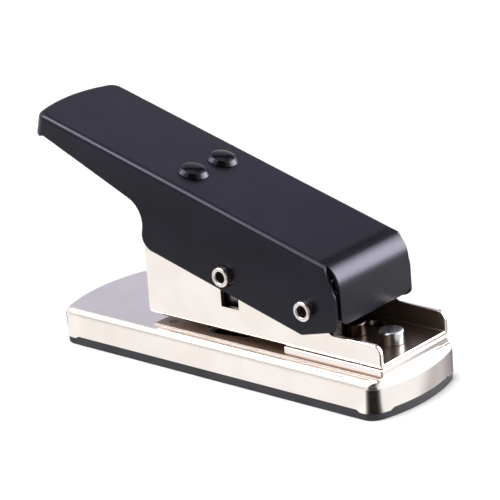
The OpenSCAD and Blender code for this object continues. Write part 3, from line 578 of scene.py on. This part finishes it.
def flange_tool():
    """Side outline of the flanges, the grip's hollow, the low lip at its end and the front."""
    far, grip_x, heel_x = -GRIP_L - 6, -110.6, -62.5
    lip_x, lip_run, lip = -105.2, 1.4, 1.0
    lip_r, hollow_r, heel_r = 0.7, 8, 4.6
    slope = math.tan(math.radians(GRIP_RISE))
    top = HANDLE_TOP + 0.04

    def grip_edge(x):
        return HANDLE_TOP - GRIP_DEPTH - (x - grip_x) * slope

    return side_tool("flange_tool", [
        (far, grip_edge(far) - lip, 0), (lip_x - lip_run, grip_edge(lip_x - lip_run) - lip, lip_r),
        (lip_x, grip_edge(lip_x), lip_r), (heel_x, grip_edge(heel_x), hollow_r), (heel_x, -FLANGE_DROP, heel_r),
        (NOSE_X, -FLANGE_DROP, 1.5), (flap_x(NOSE_Z), NOSE_Z, 2.2),
        (flap_x(top), top, CURL_R), (far, top, 0)], -HANDLE_W / 2 - 2, HANDLE_W + 4)


def relief_tool(y):
    """What is taken off in front of a flange, so that the flap's edge stands free of it."""
    back, above, below, ahead = 0.8, 20, -12, 30
    return side_tool("relief_tool", [
        (CURL_ROOT_X, above, 0), (CURL_ROOT_X, 15.3, 0.4), (5.5, 12.7, 5), (flap_x(8) - back, 8, 8),
        (flap_x(NOSE_Z) - back, NOSE_Z, 2.2), (NOSE_X, -FLANGE_DROP - 0.02, 1.5),
        (0, below, 0), (ahead, below, 0), (ahead, above, 0)], y, 4)


def curl_start():
    """Where the front curl leaves the flat top: its arcs, each (radius, degrees), end on the flap's line."""
    run = drop = turned = 0
    for r, turn in CURL:
        a, b = math.radians(turned), math.radians(turned + turn)
        run += r * (math.sin(b) - math.sin(a))
        drop += r * (math.cos(a) - math.cos(b))
        turned += turn
    return flap_x(HANDLE_TOP - drop) - run


def curl_and_flap():
    """The sheet that curls over the front: wide at its root, free of the flanges below it,
    with round lower corners."""
    side, x = FLAP_W / 2, curl_start()
    strokes, turned = [(x, -side, HANDLE_TOP)], 0
    centre = Vector((x, HANDLE_TOP - CURL[0][0]))
    for i, (r, turn) in enumerate(CURL):
        strokes.append(((centre.x, -side, centre.y), turn, max(4, round(turn / 3))))
        turned += turn
        if i + 1 < len(CURL):
            a = math.radians(turned)
            centre += Vector((math.sin(a), math.cos(a))) * (r - CURL[i + 1][0])
    flap = trace("flap", (x - 0.6, -side, HANDLE_TOP), strokes + [(FLAP_REACH, -side, 0)], (0, 1, 0))
    bpy.ops.mesh.extrude_region_move(TRANSFORM_OT_translate={"value": mm(0, FLAP_W, 0)})
    for s in (-1, 1):
        pick_out(flap, lambda a, b: max(a.x, b.x) < CURL_ROOT_X and min(a.y * s, b.y * s) > 0)
        out = mm(0, s * (CURL_ROOT_W / 2 - side), -0.1)
        bpy.ops.mesh.extrude_region_move(TRANSFORM_OT_translate={"value": out})
    pick_out(flap, lambda c: c.z < 0.01, "VERT")
    bpy.ops.mesh.bevel(offset=FLAP_CORNER_R / 1000, segments=6, affect="VERTICES")
    bpy.ops.mesh.select_mode(type="FACE")
    bpy.ops.mesh.select_all(action="SELECT")
    bpy.ops.mesh.normals_make_consistent(inside=False)
    if sum(f.normal.z for f in bmesh.from_edit_mesh(flap.data).faces) < 0:
        bpy.ops.mesh.flip_normals()
    lay_aside()
    return work(flap, "SOLIDIFY", thickness=HANDLE_T / 1000, offset=-1, use_even_offset=True)


def handle_shell():
    """The pressed shell: a bent sheet trimmed to its side outline, joined to the curl, then bored."""
    side, depth = HANDLE_W / 2, HANDLE_TOP + FLANGE_DROP + 1
    bow_x = -GRIP_L + GRIP_BOW_R
    y = side - GRIP_CORNER_R
    corner_x = bow_x - math.sqrt((GRIP_BOW_R - GRIP_CORNER_R) ** 2 - y * y)
    half = math.degrees(math.atan2(y, bow_x - corner_x))
    front, reach, tall = 20, 20, 60
    z = HANDLE_TOP
    shell = fill_and_raise(trace("handle_shell.pressed", (front, side, z), [
        (corner_x, side, z), ((corner_x, y, z), 90 - half, 10), ((bow_x, 0, z), 2 * half, 24),
        ((corner_x, -y, z), 90 - half, 10), (front, -side, z)]), (0, 0, -depth))
    take_up(shell, edit=True)
    pick_out(shell, lambda a, b: min(a.z, b.z) > HANDLE_TOP - 0.01 and min(a.x, b.x) < front - 0.01)
    bpy.ops.mesh.bevel(offset=BEND_R / 1000, segments=8, profile=0.5, clamp_overlap=True)
    pick_out(shell, lambda c, n: n.z < -0.9 or n.x > 0.9, "FACE")
    bpy.ops.mesh.delete(type="FACE")
    lay_aside()
    work(shell, "SOLIDIFY", thickness=HANDLE_T / 1000, offset=-1, use_even_offset=True)
    cut(shell, flange_tool(), "INTERSECT")
    lay_aside()
    bpy.ops.mesh.primitive_cube_add(
        size=0.001, location=mm(curl_start() + reach / 2, 0, 0), scale=(reach, HANDLE_W - 2 * HANDLE_T, tall))
    bpy.ops.object.transform_apply()
    cut(shell, bpy.context.object)
    # each of these tools spans one flange's thickness
    for y in (-20, 16):
        cut(shell, relief_tool(y))
    cut(shell, curl_and_flap(), "UNION")
    cut(shell, drill("pivot_bore", PIVOT_BORE, HANDLE_W + 4, (0, 0, 0), "Y"))
    c, s = math.cos(math.radians(TILT)), math.sin(math.radians(TILT))
    ahead, above = DRIVE_X - PIVOT_X, DRIVE_Z - PIVOT_Z
    drive_u, drive_w = ahead * c - above * s, ahead * s + above * c
    for k in (-SLOT_STRETCH, 0, SLOT_STRETCH):
        cut(shell, drill("slot_bore", SLOT_BORE, HANDLE_W + 4, (drive_u + k * c, 0, drive_w + k * s), "Y"))
    take_up(shell, edit=True)
    number_by_place(shell)
    bpy.ops.mesh.select_mode(type="VERT")
    bpy.ops.mesh.select_all(action="SELECT")
    bpy.ops.mesh.remove_doubles(threshold=COARSE_WELD)
    bpy.ops.mesh.dissolve_limited(angle_limit=math.radians(0.5))
    lay_aside()
    ease_edges(shell, 0.22, 2, 40)
    for k in (-1, 1):
        cut(shell, drill("rivet_bore", RIVET_BORE, 6, (-RIVET_BACK, k * RIVET_PITCH / 2, HANDLE_TOP)))
    tilt(shell)
    return set_in_place(shell, "handle_shell", "handle", black_paint)


def handle_rivets():
    """Two rivets: a slanted skirt under a shallow dome, turned on a spindle."""
    dome_r = (CROWN_R ** 2 + DOME_H ** 2) / (2 * DOME_H)
    lean = math.degrees(math.asin(CROWN_R / dome_r))
    top, under, crown = HANDLE_TOP, HANDLE_TOP - RIVET_GRIP, HANDLE_TOP + CROWN_H
    profile = [(UPSET_R, under - UPSET_H), (UPSET_R, under), (SHANK_R, under), (SHANK_R, top),
               (RIVET_R, top), (RIVET_R, top + RIVET_EDGE), (CROWN_R, crown)]
    pair = []
    for s in (-1, 1):
        x, y = -RIVET_BACK, s * RIVET_PITCH / 2
        dome = ((x, y, crown + DOME_H - dome_r), -lean, 8)
        rivet = trace("rivet", (x, y, under - UPSET_H), [(x + r, y, z) for r, z in profile] + [dome], (0, 1, 0))
        bpy.ops.mesh.spin(steps=48, angle=2 * math.pi, center=mm(x, y, 0), axis=(0, 0, 1))
        bpy.ops.mesh.select_all(action="SELECT")
        bpy.ops.mesh.remove_doubles(threshold=WELD)
        bpy.ops.mesh.normals_make_consistent(inside=False)
        lay_aside()
        pair.append(rivet)
    take_up(pair[0])
    pair[1].select_set(True)
    bpy.ops.object.join()
    rivets = bpy.context.object
    rivets.name = rivets.data.name = "handle_rivets.turned"
    ease_edges(rivets, 0.09, 2, 20)
    tilt(rivets)
    return set_in_place(rivets, "handle_rivets", "handle", rivet_enamel, 18)


def return_spring(node, x):
    """A coil of round wire between the guide plate and the crosshead's arm."""
    wire, coil_r, turns = 0.9, 3.05, 4.5
    low = SPRING_LOW + wire
    rise = SPRING_HIGH - SPRING_LOW - 2 * wire
    lay_aside()
    bpy.ops.mesh.primitive_circle_add(
        vertices=12, radius=wire / 2000, location=mm(coil_r, 0, 0), rotation=(math.pi / 2, 0, 0))
    bpy.ops.object.transform_apply()
    spring = bpy.context.object
    spring.name = spring.data.name = node + ".wound"
    steps = int(turns * 32)
    work(spring, "SCREW", angle=turns * 2 * math.pi, screw_offset=rise / 1000, steps=steps, render_steps=steps,
         use_merge_vertices=False)
    take_up(spring, edit=True)
    for end, by in ((0, -wire), (rise, wire)):
        bpy.ops.mesh.select_mode(type="EDGE")
        bpy.ops.mesh.select_all(action="DESELECT")
        bpy.ops.mesh.select_non_manifold(use_wire=False, use_boundary=True)
        let_go(spring, lambda a, b: abs(a.z - end) <= wire)
        bpy.ops.mesh.extrude_region_move(TRANSFORM_OT_translate={"value": mm(0, 0, by)})
        bpy.ops.mesh.edge_face_add()
    bpy.ops.mesh.select_all(action="SELECT")
    bpy.ops.mesh.normals_make_consistent(inside=False)
    bpy.ops.transform.translate(value=mm(x, 0, low))
    lay_aside()
    set_in_place(spring, node, "base", spring_wire, 60)
    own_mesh(spring)
    return spring


base_mat()
base_shell()
handle_shell()
handle_rivets()
return_spring("rear_return_spring", SPRING_XS[0])
return_spring("front_return_spring", SPRING_XS[1])
dressed("frame", "base", frame_nickel, 0.2, front=FRAME_FRONT)
dressed("die_plate", "base", die_nickel, 0.25, 3)
dressed("spacer_plate", "base", nickel, 0.15, front=SPACER_FRONT)
dressed("clamp_posts", "base", turned_steel, 0.25, 3)
dressed("pivot_pin", "base", pin_nickel, 0.5, 4)
dressed("drive_pin", "ram", pin_nickel, 0.5, 4)
dressed("dowels", "base", turned_steel, 0.2)
dressed("guide_plate", "base", steel, 0.2)
dressed("pivot_sleeve", "base", steel, 0.2)
dressed("punch", "ram", steel, 0.1)
dressed("crosshead", "ram", steel, 0.3)
dressed("backing_plate", "base", steel, 0.2)
dressed("handle_stiffener", "handle", black_paint, 0.25)
dressed("spring_posts", "base", steel, 0.25)
dressed("punch_screws", "ram", black_oxide, 0.15)
for plain, finish in (("die_rivets", oiled_steel), ("guide_rivets", steel)):
    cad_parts[plain].data.materials.clear()
    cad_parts[plain].data.materials.append(finish)


# Stage: white floor, white surroundings, one lamp, and panels that only reflections see

AIM = mm(0, 0, 30)
TABLE_Z = 0.25

white_paper, paper_tree, _ = blank("white_paper")
paper = add(paper_tree, "BsdfDiffuse", Color=linear("#f6f6f6"), Roughness=0.9)
add(paper_tree, "OutputMaterial", {"Surface": paper.outputs[0]})

lay_aside()
bpy.ops.mesh.primitive_plane_add(size=6, location=(0, 0, 0))
floor = bpy.context.object
floor.name = "floor"
floor.data.materials.append(white_paper)

world = bpy.data.worlds.new("studio")
bpy.context.scene.world = world
world.use_nodes = True
sky = world.node_tree
sky.nodes.clear()
surroundings = add(sky, "Background", Color=(1, 1, 1, 1), Strength=0.95)
white = add(sky, "Background", Color=(1, 1, 1, 1), Strength=1.0)
path = add(sky, "LightPath")
seen = add(sky, "Math", {0: path.outputs["Is Camera Ray"], 1: path.outputs["Is Glossy Ray"]},
           operation="MAXIMUM")
seen = add(sky, "Math", {0: seen.outputs[0], 1: path.outputs["Is Transmission Ray"]}, operation="MAXIMUM")
mixed = add(sky, "MixShader", {"Fac": seen.outputs[0], 1: surroundings.outputs[0], 2: white.outputs[0]})
add(sky, "OutputWorld", {"Surface": mixed.outputs[0]})


def soft_box(name, towards, distance, size, power):
    """A square lamp that looks at the object from a direction."""
    light = bpy.data.lights.new(name, "AREA")
    light.size, light.energy = size, power
    lamp = bpy.data.objects.new(name, light)
    direction = Vector(towards).normalized()
    lamp.location = AIM + direction * distance
    lamp.rotation_euler = direction.to_track_quat("Z", "Y").to_euler()
    bpy.context.collection.objects.link(lamp)


soft_box("overhead", (-0.2, -0.35, 0.9), 0.9, 0.6, 4.0)


def panel(name, location, turn, width, height, material):
    """A sheet that only shows in reflections."""
    lay_aside()
    bpy.ops.mesh.primitive_plane_add(size=1)
    sheet = bpy.context.object
    sheet.name = name
    sheet.scale, sheet.rotation_euler, sheet.location = (width, height, 1), turn, location
    sheet.data.materials.append(material)
    sheet.visible_camera = sheet.visible_diffuse = sheet.visible_shadow = False


def glow(name, colour, strength, soft=None):
    """Plain light of one colour. With soft, it fades from the sheet's middle to that strength at its rim."""
    material, tree, place = blank(name)
    light = add(tree, "Emission", Color=linear(colour), Strength=strength)
    if soft is not None:
        span = add(tree, "Mapping", {"Vector": place, "Scale": (2, 2, 2)})
        fade = add(tree, "TexGradient", {"Vector": span.outputs[0]}, gradient_type="SPHERICAL")
        level = add(tree, "MapRange", {"Value": fade.outputs[1]}, interpolation_type="SMOOTHSTEP",
                    To_Min=soft, To_Max=strength)
        tree.links.new(level.outputs[0], light.inputs["Strength"])
    add(tree, "OutputMaterial", {"Surface": light.outputs[0]})
    return material


def card(name, azimuth, elevation, distance, width, height, colour, strength, soft=None):
    """A panel that looks at the object; azimuth 0 is straight behind, 90 to the front end."""
    a, e = math.radians(azimuth), math.radians(elevation)
    towards = Vector((math.sin(a) * math.cos(e), math.cos(a) * math.cos(e), math.sin(e)))
    panel(name, AIM + towards * distance, towards.to_track_quat("Z", "Y").to_euler(), width, height,
          glow(name, colour, strength, soft))


def table(name, x0, x1, y0, y1, material):
    """A panel that lies on the floor beside the base."""
    middle = mm((x0 + x1) / 2, (y0 + y1) / 2, TABLE_Z)
    panel(name, middle, (0, 0, 0), (x1 - x0) / 1000, (y1 - y0) / 1000, material)


def swept_greys():
    """Greys that sweep round the base's near front corner: dark towards the viewer,
    light ahead of the front end, grey towards the far side."""
    corner = mm(57, -15, 0)
    material, tree, _ = blank("swept_greys")
    place = add(tree, "NewGeometry").outputs["Position"]
    centred = add(tree, "VectorMath", {0: place, 1: corner}, operation="SUBTRACT")
    sweep = add(tree, "TexGradient", {"Vector": centred.outputs[0]}, gradient_type="RADIAL")
    greys = add(tree, "ValToRGB", {"Fac": sweep.outputs[1]}, [
        (0.215, "#ffffff"), (0.258, "#56524f"), (0.295, "#1c1a19"), (0.425, "#1c1a19"), (0.465, "#5d5a5c"),
        (0.51, "#edeff1"), (0.65, "#f0f2f4"), (0.68, "#aeacaf"), (0.705, "#bdbbbe"), (0.75, "#454346")])
    light = add(tree, "Emission", {"Color": greys.outputs[0]}, Strength=1.18)
    add(tree, "OutputMaterial", {"Surface": light.outputs[0]})
    return material


# behind the part: lilac for its tops and its rear, and a strong soft box for the front curl
card("lilac_backdrop", -46, 20, 1.2, 1.35, 0.52, "#c9cadb", 1.0)
card("lilac_ceiling", -24, 42, 1.25, 1.11, 0.62, "#cdcae4", 1.0)
card("grey_edge", -53, 36, 1.19, 0.5, 0.12, "#9a9598", 1.0)
card("dark_gap", -12, 43.5, 1.15, 0.24, 0.7, "#26262c", 1.0)
card("curl_soft_box", 39, 21, 1.0, 1.8, 1.8, "#faf9ff", 18.5, 0.3)
# towards the rear: light for the handle's long bend and the rivets' skirts, and what borders it
card("bend_soft_box", 228, 52, 1.0, 0.66, 0.66, "#f8f7ff", 22, 0.8)
card("dark_rim", 322, 57, 1.2, 0.55, 0.26, "#26262c", 1.0)
card("near_sky", 236, 47, 1.4, 1.5, 0.9, "#ffffff", 1.2)
card("grey_gap", 224, 16, 1.3, 1.7, 0.62, "#dedad6", 1.0)
card("rivet_glow", 244, 34, 1.0, 0.42, 0.2, "#f4f2ff", 9.0)
# where the viewer stands: dark, for the base's near corner and the posts
card("dark_room", 138, 18, 0.9, 1.0, 0.62, "#34312e", 1.0)
card("dark_ceiling", 138, 62, 0.9, 0.80, 0.80, "#1c1a19", 1.0)
# on the floor: what the upright faces mirror
table("near_table", -140, 50, -88, -21.5, glow("near_table", "#ffffff", 1.03))
table("mid_table", -220, 50, -144, -88, glow("mid_table", "#c8c8cc", 1.0))
table("far_left_table", -120, -64.5, -14.5, 70, glow("far_left_table", "#4b494c", 1.0))
table("front_table", 50, 700, -600, 62, swept_greys())

# Camera, fitted to the photograph

STATION, FOCAL, SENSOR = mm(493.58, -562.23, 306.33), 193.74, 36
TOWARD = Vector((0.61947, -0.70690, 0.34137))
RIGHT, UP = Vector((0.75208, 0.65906, 0)), Vector((-0.22498, 0.25674, 0.93992))
ROLL_COS, ROLL_SIN = 0.99745, 0.07132

lens = bpy.data.cameras.new("camera")
lens.sensor_width, lens.lens = SENSOR, FOCAL
lens.clip_start, lens.clip_end = 0.05, 20
camera = bpy.data.objects.new("camera", lens)
across, upright = ROLL_COS * RIGHT - ROLL_SIN * UP, ROLL_SIN * RIGHT + ROLL_COS * UP
turned = Matrix((across, upright, TOWARD)).transposed().to_4x4()
camera.matrix_world = Matrix.Translation(STATION) @ turned
bpy.context.collection.objects.link(camera)
bpy.context.scene.camera = camera
bpy.context.scene.view_settings.view_transform = "Standard"
